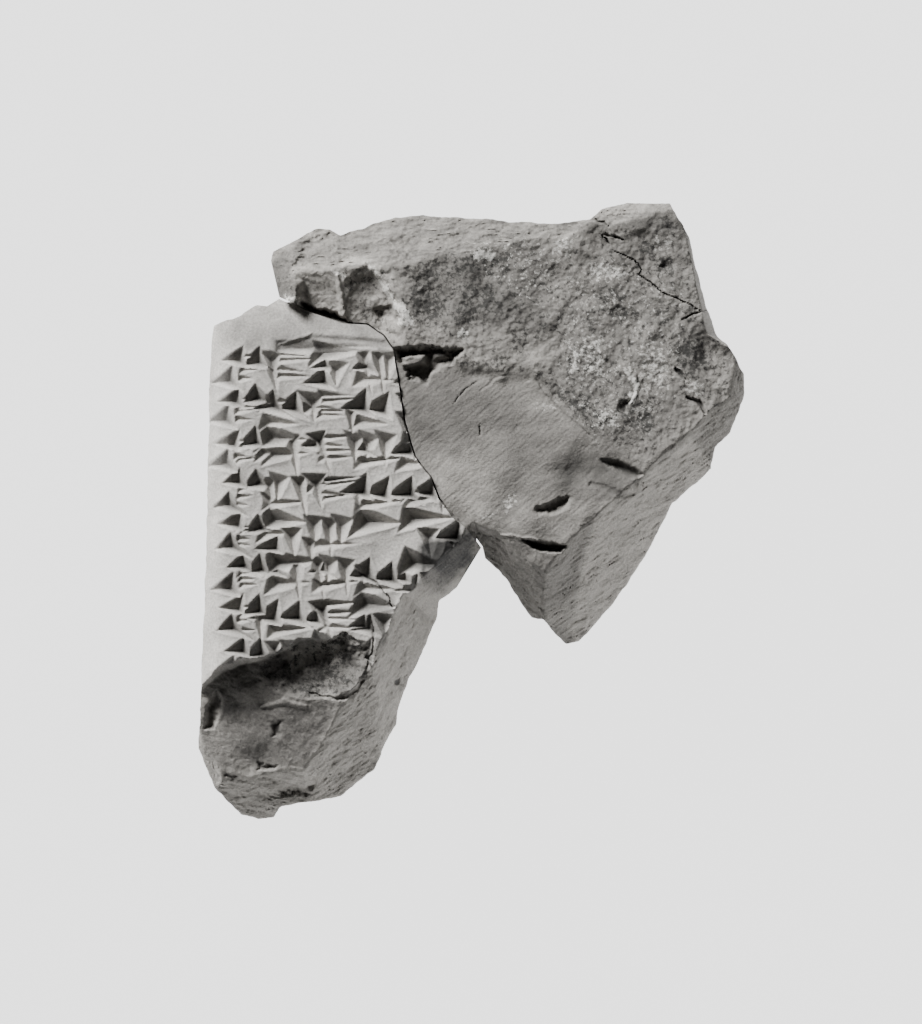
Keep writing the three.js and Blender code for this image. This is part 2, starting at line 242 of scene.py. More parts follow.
def roughLine(corners, step, roughness, seed):
    # Points every step along the corners, moved sideways by noise with waves of 2 mm and less, which fades
    # out over the first and the last millimetre.
    lengths = np.linalg.norm(np.diff(corners, axis=0), axis=1)
    ends = np.concatenate([[0], np.cumsum(lengths)])
    runs = np.linspace(0, ends[-1], max(2, round(ends[-1] / step)) + 1)
    points = np.stack([np.interp(runs, ends, corners[:, k]) for k in range(2)], axis=1)
    spots = np.column_stack([points, np.zeros(len(points))])
    fade = ease(np.minimum(runs, ends[-1] - runs), 0, 1)
    shift = roughness * fade * grain(spots, 2.0, 4, seed, 0.6)
    return points + leftOf(points) * shift[:, None]


# Fracture faces

def directions(face):
    # The way a face looks and how steeply it falls, from degrees to radians.
    return math.radians(face["facing"]), math.radians(face["dip"])


def faceHeightAt(x, y, face, height, number):
    # The face's plane, z less tan(dip) per mm down, raised by its lumps, three sines of the places along and
    # up the face, and by its bow, a square of the place up it. Beyond its reach it turns up by 4 mm per mm.
    spotX, spotY = place(face["at"])
    way, lean = directions(face)
    phase = 1.3 + 1.9 * number
    down = (x - spotX) * math.cos(way) + (y - spotY) * math.sin(way)
    strike = -(x - spotX) * math.sin(way) + (y - spotY) * math.cos(way)
    up = -down / math.cos(lean)
    lump = (np.sin(0.42 * strike + 0.61 * up + phase) + np.sin(0.93 * strike - 0.51 * up + 2.3 * phase)
            + 0.7 * np.sin(1.31 * strike + 1.47 * up + 0.7 * phase)) / 2.2
    bow = face.get("bow", 0) * (2 * up / tablet["length"]) ** 2
    z = face["z"] * height - down * math.tan(lean) + 0.4 * face["rough"] * lump * math.cos(lean)
    z = z + bow / math.cos(lean)
    if "reach" in face:
        clockwise, counter, uphill, downhill = face["reach"]
        beyond = np.maximum.reduce([-strike - clockwise, strike - counter, up - uphill, -up - downhill])
        z = z + np.maximum(beyond, 0) * 4
    return z


def roughFaceAt(x, y, face, height, number, raised, heights, seeds):
    # A face with its texture, measured across it: grain of 2.2 mm, swells of 6 mm, and fibres that run along
    # its strike and a little downwards. Heights and seeds are in that order. Gives the fibres' values too.
    way, lean = directions(face)
    grainHeight, swellHeight, fibreHeight = heights
    plane = faceHeightAt(x, y, face, height, number) + raised
    spots = np.column_stack([x, y, np.minimum(plane, 40)])
    fibres = np.zeros(len(x))
    if fibreHeight:
        fibres = fibresAt(spots, [-math.sin(way), math.cos(way), -0.35], seeds[2] + number)
    texture = grainHeight * grain(spots, 2.2, 5, seeds[0] + number, 0.6) + fibreHeight * fibres
    texture = texture + swellHeight * grain(spots, 6.0, 2, seeds[1] + number)
    return plane + texture / max(math.cos(lean), 0.5), fibres


def flakeFloorAt(x, y, flake, height):
    # The underside of a flake's ellipsoid: its middle's height less its depth times the square root of what
    # the squares of the places across it leave of 1. Outside it, untouched.
    spotX, spotY = place(flake["at"])
    turn = math.radians(flake["turn"])
    across = ((x - spotX) * math.cos(turn) + (y - spotY) * math.sin(turn)) / flake["radii"][0]
    up = (-(x - spotX) * math.sin(turn) + (y - spotY) * math.cos(turn)) / flake["radii"][1]
    left = 1 - across ** 2 - up ** 2
    floor = height - flake["under"] - flake["radii"][2] * np.sqrt(np.maximum(left, 0))
    return np.where(left > 0, floor, untouched)


def warped(x, y, size, amount, seed):
    # Places pushed about by noise, so that what is measured from them gets an uneven edge.
    spots = np.column_stack([x, y, np.zeros(len(x))])
    return x + amount * grain(spots, size, 3, seed, 0.6), y + amount * grain(spots, size, 3, seed + 9, 0.6)


def cutShapes(x, y, cuts, seed):
    # How deep the listed cuts go, added up, and how dark the last one is, which is painted shade in the
    # crack,
    # pit or hollow: closed shapes by their inside, lines by their width, which tapers as a sine towards both
    # ends.
    depth, dark = np.zeros(len(x)), np.zeros(len(x))
    for i, cut in enumerate(cuts):
        corners = mark(cut["at"])
        reach = 3 + cut.get("wide", 0)
        low, high = corners.min(axis=0) - reach, corners.max(axis=0) + reach
        near = np.nonzero((x > low[0]) & (x < high[0]) & (y > low[1]) & (y < high[1]))[0]
        nearX, nearY = warped(x[near], y[near], 0.9, cut.get("uneven", 0.25), seed + i)
        if "wide" in cut:
            far, _, along = toLine(nearX, nearY, corners)
            taper = 0.45 + 0.55 * np.sin(math.pi * np.clip(along, 0.03, 0.97))
            share = 1 - ease(far, 0.25 * cut["wide"] * taper, cut["wide"] * taper)
        else:
            share = within(nearX, nearY, corners, cut["blur"])
        depth[near] += cut["deep"] * share
        dark[near] = dark[near] * (1 - share) + cut.get("dark", 0) * share
    return depth, dark


def tonePatches(x, y, patches, seed, uneven=1.1):
    # Lighter (above 0) and darker (below 0) areas, added up. Each is a closed shape with an uneven, blurred
    # edge.
    tone = np.zeros(len(x))
    farX, farY = warped(x, y, 2 * uneven, uneven, seed)
    for patch in patches:
        tone += patch["tone"] * within(farX, farY, mark(patch["at"]), patch["blur"])
    return tone


# Closed pieces

def crackLine():
    # The crack between the fragments, shared by both.
    return roughLine(place(crack), tablet["outlineStep"], tablet["joinRoughness"], 11)


def outlineOf(breakCorners, side):
    # One fragment's outline, counterclockwise: the crack moved half the gap to its side, then its break.
    # Points closer than 0.06 mm to the one before are left out.
    seam = crackLine()
    seam = seam + leftOf(seam) * side * tablet["joinGap"] / 2
    broken = roughLine(place(breakCorners), tablet["outlineStep"], tablet["outlineRoughness"], 23 + side)
    loop = np.vstack([seam[::side], broken[::-1]])
    gap = np.linalg.norm(loop - np.roll(loop, 1, axis=0), axis=1)
    limit = np.array([tablet["width"], tablet["length"]]) / 2 - tablet["outlineMargin"]
    return np.clip(loop[gap > 0.06], -limit, limit)


def latticeIn(loop, spacing):
    # A triangular lattice inside the outline, its rows sqrt(3)/2 of the spacing apart and every other one
    # half a step along. Places within about half a step of the outline are left out.
    low, high = loop.min(axis=0), loop.max(axis=0)
    rise = spacing * math.sqrt(3) / 2
    rows, columns = int((high[1] - low[1]) / rise), int((high[0] - low[0]) / spacing)
    row, column = np.mgrid[0:rows, 0:columns]
    x = low[0] + (column + 0.5 * (row % 2)) * spacing
    y = low[1] + row * rise
    keep = insideOf(x.ravel(), y.ravel(), loop).reshape(x.shape)
    steps = np.linspace(0, 1, 6)[:-1, None, None]
    dense = (loop * (1 - steps) + np.roll(loop, -1, axis=0) * steps).reshape(-1, 2)
    for ahead in (-0.45, 0, 0.45):
        for up in (-0.4, 0, 0.4):
            r = np.round((dense[:, 1] + up * spacing - low[1]) / rise).astype(int)
            c = np.round((dense[:, 0] + ahead * spacing - low[0]) / spacing - 0.5 * (r % 2)).astype(int)
            fits = (r >= 0) & (r < rows) & (c >= 0) & (c < columns)
            keep[r[fits], c[fits]] = False
    return np.stack([x[keep], y[keep]], axis=1)


def joinLean(loop):
    # Where the outline runs along the crack, a vector to the left of the crack, and how far the place
    # belongs to the crack: 1 along it, eased to 0 over its ends.
    seam = crackLine()
    far, _, along = toLine(loop[:, 0], loop[:, 1], seam)
    onSeam = (far < 0.3) * ease(np.minimum(along, 1 - along), 0, 0.05)
    nearest = np.abs(loop[:, None, :] - seam[None, :, :]).sum(axis=2).argmin(axis=1)
    return leftOf(seam)[nearest] * (tablet["joinDraft"] * onSeam)[:, None], onSeam


def wallsUnder(loop, rim, skin, levels, seed):
    # One ring for each level, a share of the rim's height. A ring is the outline, smoothed below the rim,
    # drawn in by an ease of its depth below the girth, eaten into by the grain where the wall is broken,
    # and set back along the join.
    count, heart = len(loop), place(middle)
    kernel = np.ones(tablet["wallSmoothing"]) / tablet["wallSmoothing"]
    around = [np.convolve(np.tile(loop[:, k], 3), kernel, "same")[count:2 * count] for k in (0, 1)]
    lean, onSeam = joinLean(loop)
    even = loop + (np.stack(around, axis=1) - loop) * (1 - np.minimum(onSeam * 9, 1))[:, None]
    ways = np.roll(loop, -1, axis=0) - np.roll(loop, 1, axis=0)
    outward = np.stack([ways[:, 1], -ways[:, 0]], axis=1) / np.linalg.norm(ways, axis=1)[:, None]
    inset = tablet["undersideInset"] / np.linalg.norm(loop - heart, axis=1).max()
    bareness = 1 - (1 - tablet["wallSkinGrain"]) * skin
    walls, grains = [], []
    for level in levels:
        z = rim * level
        low = 1 - z / tablet["girthHeight"]
        drawn = 1 - inset * ease(low, 0, 1.25) / 0.896  # 0.896 is the ease at the underside, where low is 1
        fade = ease(6 * (1 - level), 0, 1)
        worn = grain(np.column_stack([loop, z]), tablet["wallGrainSize"], 6, seed, 0.72)
        eaten = (tablet["wallGrain"] * (1 - worn) * bareness + tablet["wallInset"]) * (1 - onSeam) * fade
        line = (loop + (even - loop) * fade - heart) * drawn[:, None] + heart
        line = line - outward * eaten[:, None] + lean * ease(rim - z, 0.4, 2.6)[:, None]
        walls.append(np.column_stack([line, z]))
        grains.append(worn)
    return walls, np.array(grains)


def clayPiece(name, loop, spacing, surfaceAt, skinAt, seed):
    # A closed piece: the surface over a triangulated outline, rings of wall below its rim, a flat base.
    inner = latticeIn(loop, spacing)
    flat = np.vstack([loop, inner])
    count, rings = len(loop), tablet["wallRings"]
    i = np.arange(count)
    j = (i + 1) % count
    around = np.stack([i, j], axis=1).tolist()
    found = delaunay_2d_cdt(flat.tolist(), around, [], 1, 1e-7)
    flat = np.array(found[0])
    top, marks = surfaceAt(flat[:, 0], flat[:, 1])
    skin = skinAt(loop[:, 0], loop[:, 1])
    levels = 1 - (np.arange(1, rings + 1) / rings) ** tablet["ringCrowding"]
    walls, grains = wallsUnder(loop, top[:count], skin, levels, seed)
    points = np.vstack([np.column_stack([flat, top]), *walls]) / 1000
    first = np.concatenate([[0], len(flat) + count * np.arange(rings)])
    faces = [np.array(found[2])]
    for upper, lower in zip(first[:-1], first[1:]):
        faces.append(np.stack([lower + i, lower + j, upper + j], axis=1))
        faces.append(np.stack([lower + i, upper + j, upper + i], axis=1))
    base = delaunay_2d_cdt(walls[-1][:, :2].tolist(), around, [], 1, 1e-7)
    faces.append(np.array(base[2])[:, ::-1] + first[-1])
    mesh = bpy.data.meshes.new(name)
    mesh.from_pydata(points.tolist(), [], np.vstack(faces).tolist())
    rimTone = np.outer(levels ** 2, marks["tone"][:count]) * tablet["rimShading"]
    onWalls = {"broken": np.outer(np.ones(rings), 1 - skin),
               "tone": rimTone + tablet["wallShading"] * grains,
               "mottled": np.outer(np.full(rings, tablet["wallMottling"]), 1 - skin)}
    for key, value in marks.items():
        below = onWalls.get(key, np.zeros((rings, count))).ravel()
        held = mesh.attributes.new(key, "FLOAT", "POINT")
        held.data.foreach_set("value", np.concatenate([value, below]).astype(np.float32))
    mesh.shade_smooth()
    mesh.set_sharp_from_angle(angle=math.radians(tablet["sharpEdge"]))
    mesh.validate()
    piece = bpy.data.objects.new(name, mesh)
    bpy.context.scene.collection.objects.link(piece)
    print(name, len(mesh.polygons), "triangles")
    return piece


# The written fragment: the scribe's rows, and the breaks that cut them off

def stack(x, y, count, length, halfWidth, pitch=0.8):
    # Short strokes one under the other, pitch mm apart.
    return [[x, y - i * pitch, 0, length, halfWidth, 1.1 * halfWidth] for i in range(count)]


# A face: where it passes (percent of the tablet, share of its height), where it faces and how steeply it
# falls in degrees, how lumpy it is, and how far it reaches in mm: clockwise, counterclockwise, up, down.
# A cut or tone: corners in eighths of a mm as seen from above, a blur in mm for a closed shape or a width
# for a line, how deep in mm, how dark from 0 to 1 (painted shade in the cut), how uneven in mm.
written = {
    "spacing": 0.152,          # mm between points of the surface
    "rowPitch": 5.2,
    "rowCount": 8,
    "sideMargin": 2.3,
    "headSpace": 2.8,
    "groupWidth": 5.7,
    "waywardness": 0.6,        # mm that a stroke may lie off its place
    "swell": 0.16,             # how far the pressed clay rises beside a stroke
    "skinGrain": 0.035,
    "skinWaves": 0.2,
    "sideRound": 2.2,          # mm over which the face rounds into the side
    "headRound": 1.4,
    "breakRound": 0.25,
    "rimRound": 0.12,          # the edges of strokes and of breaks
    "breakGrain": 0.26,
    "breakSwells": 0.3,
    "fibreHeight": 0.1,
    "scarRise": 3.2,           # how steeply the scar's wall climbs to the skin's edge
    "scarGrain": 0.4,
    "scarChips": 0.25,
    "fibreShading": 0.42,
    "strokeShadeDarkness": 0.68,              # how dark the painted shade in the strokes is
    "stylus": [[0, 0.15, 1], [0, -0.25, -1], [1, 0, 0.1], [0.08, 0.6, 0.02]],
    "skin": {
        "face": {"at": [24, 55], "z": 1, "facing": -90, "dip": 0.3, "rough": 0.08},
        "headMargin": {"at": [18.6, 77.4], "z": 1, "facing": 92, "dip": 25, "rough": 0.25},
        "sideCurveUpper": {"at": [5.7, 48.8], "z": 1, "facing": 177.7, "dip": 33, "rough": 0.05},
        "sideCurveLower": {"at": [3.9, 48.8], "z": 0.965, "facing": 177.7, "dip": 64, "rough": 0.05},
    },
    "breaks": {
        "breakUpper": {"at": [43.7, 42.1], "z": 1, "facing": -43.7, "dip": 73, "rough": 0.5,
                       "reach": [5.8, 20, 60, 60]},
        "breakMiddle": {"at": [35, 32.3], "z": 1, "facing": -25, "dip": 68, "rough": 0.55,
                        "reach": [60, 4, 60, 60]},
        "breakLower": {"at": [27.8, 18.8], "z": 0.86, "facing": -49, "dip": 57, "rough": 0.65},
        "footBreak": {"at": [14, 15.5], "z": 0.8, "facing": -112, "dip": 25, "rough": 0.6, "fibre": 0.35},
        "footRim": {"at": [16.8, 5.5], "z": 0.62, "facing": -93, "dip": 56, "rough": 0.5},
        "footCorner": {"at": [4, 9], "z": 0.7, "facing": -147, "dip": 60, "rough": 0.4},
    },
    "flake": {"at": [17.7, 22.6], "under": -2.6, "radii": [11.9, 6.5, 6.3], "turn": 17},
    "rubbedOut": {"at": [34, 46.5], "radii": [5.5, 2.8]},
    "headTrough": {"at": [14, 76.3], "angle": 1, "length": 13, "halfWidth": 1.1, "depth": 0.55},
    # Strokes in clusters: place, tail angle, length, half width, depth. The first cluster opens every row
    "clusters": [
        [[0.45, -1.1, -40, 3.6, 1.6, 1.4], [1.8, 1.5, -44, 3.2, 1.5, 1.3], *stack(2.5, 0.8, 4, 2.2, 0.5),
         [4.1, 1.3, -28, 3.8, 1.5, 1.35]],
        [[0, 1.5, -2, 6.6, 1.8, 1.6], [0.4, -1, 1, 5.6, 1.3, 1.2], [3.6, 1.7, -88, 4.8, 1.2, 1.15]],
        [[0.9, 1.7, -78, 4.6, 1.4, 1.3], *stack(1.4, 1.3, 4, 4.6, 0.6)],
        [[0.2, 0.7, -40, 4, 1.8, 1.5], [3, 0.6, -43, 3.8, 1.7, 1.45], [0.3, -1.7, 1, 5.6, 0.95, 0.9]],
        [[0, 1.4, -3, 6.2, 1.7, 1.5], [3.3, 0.4, -86, 3.6, 1.4, 1.2], [0.7, -1.1, -38, 3.4, 1.5, 1.3]],
        [[0.6, 1.8, -85, 4.7, 1.15, 1.1], [2.4, 1.9, -90, 4.6, 1.15, 1.1], [4.3, 1.8, -87, 4.5, 1.15, 1.1],
         [0.1, -1.8, 0, 5.8, 0.9, 0.85]],
    ],
    # Single strokes between the clusters: tail angle, length, half width, depth
    "between": [[-42, 3.2, 1.3, 1.1], [-88, 3.6, 1, 0.95], [-2, 4, 1.2, 1.05]],
    # Where the skin ends above the flake scar, from left to right
    "skinEdge": [[190, 700], [208, 686], [226, 670], [244, 665], [262, 661], [276, 655], [288, 649],
                 [300, 641], [334, 640], [344, 632], [356, 640], [371, 640], [376, 618], [396, 596],
                 [420, 560]],
    # The darkness of each cut is painted shade in its crack, pit or hollow
    "cuts": [
        {"at": [[360, 573], [378, 584], [389, 597], [392, 606]], "wide": 0.2, "deep": 0.4, "dark": 0.55},
        {"at": [[373, 622], [374, 640], [372, 655]], "wide": 0.2, "deep": 0.35, "dark": 0.45},
        {"at": [[372, 655], [368, 670], [358, 687], [347, 697], [334, 698], [312, 693]], "wide": 0.4,
         "deep": 0.35, "dark": 0.1, "uneven": 0.4},
        {"at": [[278, 342], [296, 341], [312, 337], [345, 338], [386, 342], [390, 350], [345, 350],
         [278, 352]], "blur": 0.35, "deep": 0.35, "uneven": 0.1},
        {"at": [[280, 345], [298, 340], [313, 334]], "wide": 0.3, "deep": -0.12},
        {"at": [[217, 692], [221, 700], [218, 715], [213, 728], [206, 728], [208, 708]], "blur": 0.35,
         "deep": 0.8, "dark": 0.1},
        {"at": [[272, 724], [281, 721], [280, 735], [274, 737]], "blur": 0.25, "deep": 0.4, "dark": 0.35,
         "uneven": 0.5},
        {"at": [[258, 764], [277, 766], [272, 769], [256, 769]], "blur": 0.25, "deep": 0.4, "dark": 0.4,
         "uneven": 0.5},
        {"at": [[226, 773], [236, 777], [232, 780], [224, 777]], "blur": 0.25, "deep": 0.4, "dark": 0.4,
         "uneven": 0.5},
        {"at": [[394, 680], [400, 679], [399, 685], [394, 685]], "blur": 0.15, "deep": 0.8, "dark": 0.9},
        {"at": [[280, 784], [314, 786], [308, 795], [278, 794]], "blur": 0.6, "deep": 0.7, "dark": 0.15,
         "uneven": 0.6},
        {"at": [[262, 707], [285, 701], [306, 706]], "wide": 0.5, "deep": -0.25},
    ],
    "tones": [
        {"at": [[205, 690], [226, 665], [262, 657], [300, 636], [345, 640], [335, 668], [318, 694],
         [270, 706], [222, 720]], "blur": 1.2, "tone": -0.5},
        # Painted light on the shaded wall of the flake scar
        {"at": [[284, 648], [345, 638], [342, 660], [290, 672]], "blur": 0.8, "tone": 1.0},
        {"at": [[338, 655], [372, 650], [366, 680], [346, 698], [330, 690]], "blur": 1.0, "tone": -0.4},
        {"at": [[222, 706], [330, 700], [322, 735], [300, 768], [250, 762], [224, 740]], "blur": 0.8,
         "tone": -0.38},
        {"at": [[204, 735], [260, 728], [262, 765], [215, 775]], "blur": 1.5, "tone": -0.12},
        # Painted shade in the hollow above the skin's last remnant
        {"at": [[360, 600], [396, 598], [390, 632], [376, 650], [368, 622]], "blur": 0.8, "tone": -0.4},
        # Painted light on the outward bevel
        {"at": [[350, 700], [372, 668], [400, 600], [430, 575], [462, 580], [400, 760], [340, 810],
         [290, 775], [325, 730]], "blur": 0.7, "tone": 0.54},
        # Painted light on the foot's lower rim
        {"at": [[215, 770], [330, 775], [330, 812], [240, 826]], "blur": 0.9, "tone": 0.42},
        # Painted shade in the notch beside the other fragment's prong
        {"at": [[425, 540], [478, 528], [470, 560], [440, 590], [418, 590]], "blur": 0.8, "tone": -1.05},
        {"at": [[196, 320], [224, 320], [222, 690], [196, 690]], "blur": 0.8, "tone": 0.1},
        {"at": [[216, 330], [262, 306], [380, 318], [396, 350], [216, 350]], "blur": 1.0, "tone": -0.3},
        {"at": [[270, 338], [300, 336], [386, 338], [388, 348], [280, 350]], "blur": 0.5, "tone": -0.16},
    ],
}


def chance(n):
    # An even, repeatable value between 0 and 1 for a whole number.
    value = math.sin(n * 12.9898 + 4.1) * 43758.5453
    return value - math.floor(value)


def rowsOfStrokes():
    # Row by row and cluster by cluster, each stroke a little off its place, turned and resized by luck, and
    # none on the rubbed-out patch. They spell nothing.
    headY = place(written["skin"]["headMargin"]["at"])[1] - written["headSpace"]
    sideX = place([0, 0])[0] + written["sideMargin"]
    endX = place(crack[-1])[0]
    wornX, wornY = place(written["rubbedOut"]["at"])
    halfX, halfY = np.array(written["rubbedOut"]["radii"]) / 100 * [tablet["width"], tablet["length"]]
    clusters, between, astray = written["clusters"], written["between"], written["waywardness"]
    strokes = []
    for row in range(written["rowCount"]):
        slot = 0
        startX = sideX + 0.9 * chance(row * 7 + 3) - 0.3
        rowY = headY - row * written["rowPitch"]
        while startX + slot * written["groupWidth"] < endX:
            slotX = startX + slot * written["groupWidth"]
            pick = 0 if slot == 0 else 1 + int(chance(row * 11 + slot) * (len(clusters) - 1))
            for i, (dx, dy, angle, length, halfWidth, depth) in enumerate(clusters[pick]):
                luck = chance(row * 131 + slot * 17 + i) - 0.5
                drop = chance(row * 57 + slot * 29 + i) - 0.5
                strokes.append([slotX + dx + astray * luck, rowY + dy + astray * drop, angle + 16 * luck,
                                length * (1 + 0.4 * luck), halfWidth * (1.08 - 0.4 * luck), depth])
            if slot > 0:
                luck, drop = chance(row * 83 + slot * 41), chance(row * 19 + slot * 67)
                angle, length, halfWidth, depth = between[int(chance(row * 29 + slot * 5) * len(between))]
                x = slotX - 0.1 * written["groupWidth"] + 1.6 * luck
                strokes.append([x, rowY + 2.2 * drop - 1.1, angle + 8 * luck, length, halfWidth, depth])
            slot += 1
    return [s for s in strokes if ((s[0] - wornX) / halfX) ** 2 + ((s[1] - wornY) / halfY) ** 2 >= 1]


def strokeDepth(x, y, stroke):
    # A three-sided press: the least share of the way from each rim edge to the deepest point, times depth.
    # The stylus gives its corners as shares of the length and half width along, and of the half width aside.
    spotX, spotY, angle, length, halfWidth, depth = stroke
    turn = math.radians(angle)
    along = (x - spotX) * math.cos(turn) + (y - spotY) * math.sin(turn)
    side = -(x - spotX) * math.sin(turn) + (y - spotY) * math.cos(turn)
    *rim, deepest = [(a * length + b * halfWidth, c * halfWidth) for a, b, c in written["stylus"]]
    share = np.full(len(x), 9.0)
    for (ax, ay), (bx, by) in zip(rim, rim[1:] + rim[:1]):
        full = (bx - ax) * (deepest[1] - ay) - (by - ay) * (deepest[0] - ax)
        share = np.minimum(share, ((bx - ax) * (side - ay) - (by - ay) * (along - ax)) / full)
    return share * depth


def pressedStrokes(x, y):
    # The deepest stroke at each place, how far the clay beside it swells, which fades as e^(distance/0.35),
    # and how steeply the stroke falls towards the lower right, away from the light, where painted shade
    # goes.
    swell, deepest, steep = np.zeros(len(x)), np.full(len(x), -9.0), np.zeros(len(x))
    trough = written["headTrough"]
    sizes = [trough[key] for key in ("angle", "length", "halfWidth", "depth")]
    for stroke in [[*place(trough["at"]), *sizes]] + rowsOfStrokes():
        reach = stroke[3] + stroke[4] + 1
        near = np.nonzero((np.abs(x - stroke[0]) < reach) & (np.abs(y - stroke[1]) < reach))[0]
        deep = strokeDepth(x[near], y[near], stroke)
        fall = (deep - strokeDepth(x[near] - 0.1, y[near] + 0.1, stroke)) / 0.14
        steep[near] = np.where((deep > 0) & (deep > deepest[near]), fall, steep[near])
        deepest[near] = np.maximum(deepest[near], deep)
        swell[near] = np.maximum(swell[near], np.exp(np.minimum(deep, 0) / 0.35) * stroke[5])
    return deepest, swell, steep


def writtenSurface(x, y):
    # Skin faces melt into each other, strokes are pressed in, then the breaks and the flake cut all of it.
    height = tablet["faceHeight"]
    level = np.full(len(x), untouched)
    for i, (name, face) in enumerate(written["skin"].items()):
        melt = written["sideRound"] if name.startswith("side") else written["headRound"]
        level = softMin(level, faceHeightAt(x, y, face, height, i), melt)
    spots = np.column_stack([x, y, level])
    z = level + written["skinGrain"] * grain(spots, 1.1, 5, 31, 0.62)
    z = z + written["skinWaves"] * grain(spots, 4.5, 3, 33)
    deepest, swell, steep = pressedStrokes(x, y)
    pressed = level - deepest + 0.025 * grain(spots, 0.6, 3, 37)
    z = softMin(z + written["swell"] * swell, pressed, written["rimRound"])
    # The breaks, of which the foot's climbs to the edge of the skin, and their fibres
    farX, farY = warped(x, y, 2.0, 0.5, 45)
    above, aboveSide, _ = toLine(farX, farY, mark(written["skinEdge"]))
    rise = written["scarRise"] * np.maximum(above * aboveSide, 0)
    breaks, streaks = np.full(len(x), untouched), np.zeros(len(x))
    for i, (name, face) in enumerate(written["breaks"].items(), len(written["skin"])):
        fibre = face.get("fibre", 1)
        heights = [written["breakGrain"], written["breakSwells"], fibre * written["fibreHeight"]]
        raised = rise if name == "footBreak" else 0
        plane, fibres = roughFaceAt(x, y, face, height, i, raised, heights, [41, 47, 51])
        streaks = np.where(plane < breaks, fibre * fibres, streaks)
        breaks = softMin(breaks, plane, written["breakRound"])
    # The flake scar
    spots = np.column_stack([x, y, z])
    wobble = 0.7 * grain(spots, 3.0, 4, 61, 0.6)
    floor = flakeFloorAt(x + wobble, y + 0.6 * wobble, written["flake"], height) + rise
    spots[:, 2] = np.minimum(floor, 30)
    floor = floor + written["scarGrain"] * grain(spots, 1.8, 5, 71, 0.7)
    floor = floor + written["scarChips"] * (chips(spots, 0.9, 77) - 0.5)
    inScar = ease(breaks - floor, -0.1, 0.4)
    breaks = np.minimum(breaks, floor)
    broken = ease(z - breaks, -0.02, 0.06)
    cut, dark = cutShapes(x, y, written["cuts"], 201)
    z = softMin(z, breaks, written["rimRound"]) - cut
    # Tone: patches, fibres, cloudy grain of 1.3 mm on the breaks and 2.6 mm on the skin
    spots = np.column_stack([x, y, z])
    tone = tonePatches(x, y, written["tones"], 231)
    tone = tone + (written["fibreShading"] * streaks * (1 - inScar) - 0.1 * inScar) * broken
    tone = tone + 0.16 * grain(spots, 1.3, 4, 235) * (0.25 + 0.75 * broken)
    tone = tone + 0.3 * grain(spots, 2.6, 3, 239) * (1 - broken)
    # Painted shade: darker deep in the strokes and on walls under their upper left rims, away from the light
    # painted shade in the strokes, not dirt
    strokeShadeMask = np.maximum(ease(level - z, 0.2, 1.2), ease(steep, 0.4, 1.1) * ease(level - z, 0, 0.2))
    dark = np.maximum(dark, written["strokeShadeDarkness"] * strokeShadeMask * (1 - broken))
    mottled = inScar * broken * np.clip(0.5 + 0.9 * grain(spots, 2.4, 3, 243), 0, 1)
    return z, {"broken": broken, "tone": tone, "dark": dark, "mottled": mottled}


def writtenSkin(x, y):
    # 1 on the rounded left side, where the wall is the tablet's own skin.
    return ease(-x, 31.2, 32.2) * ease(y, -29, -27) * ease(-y, -25.5, -24.5)


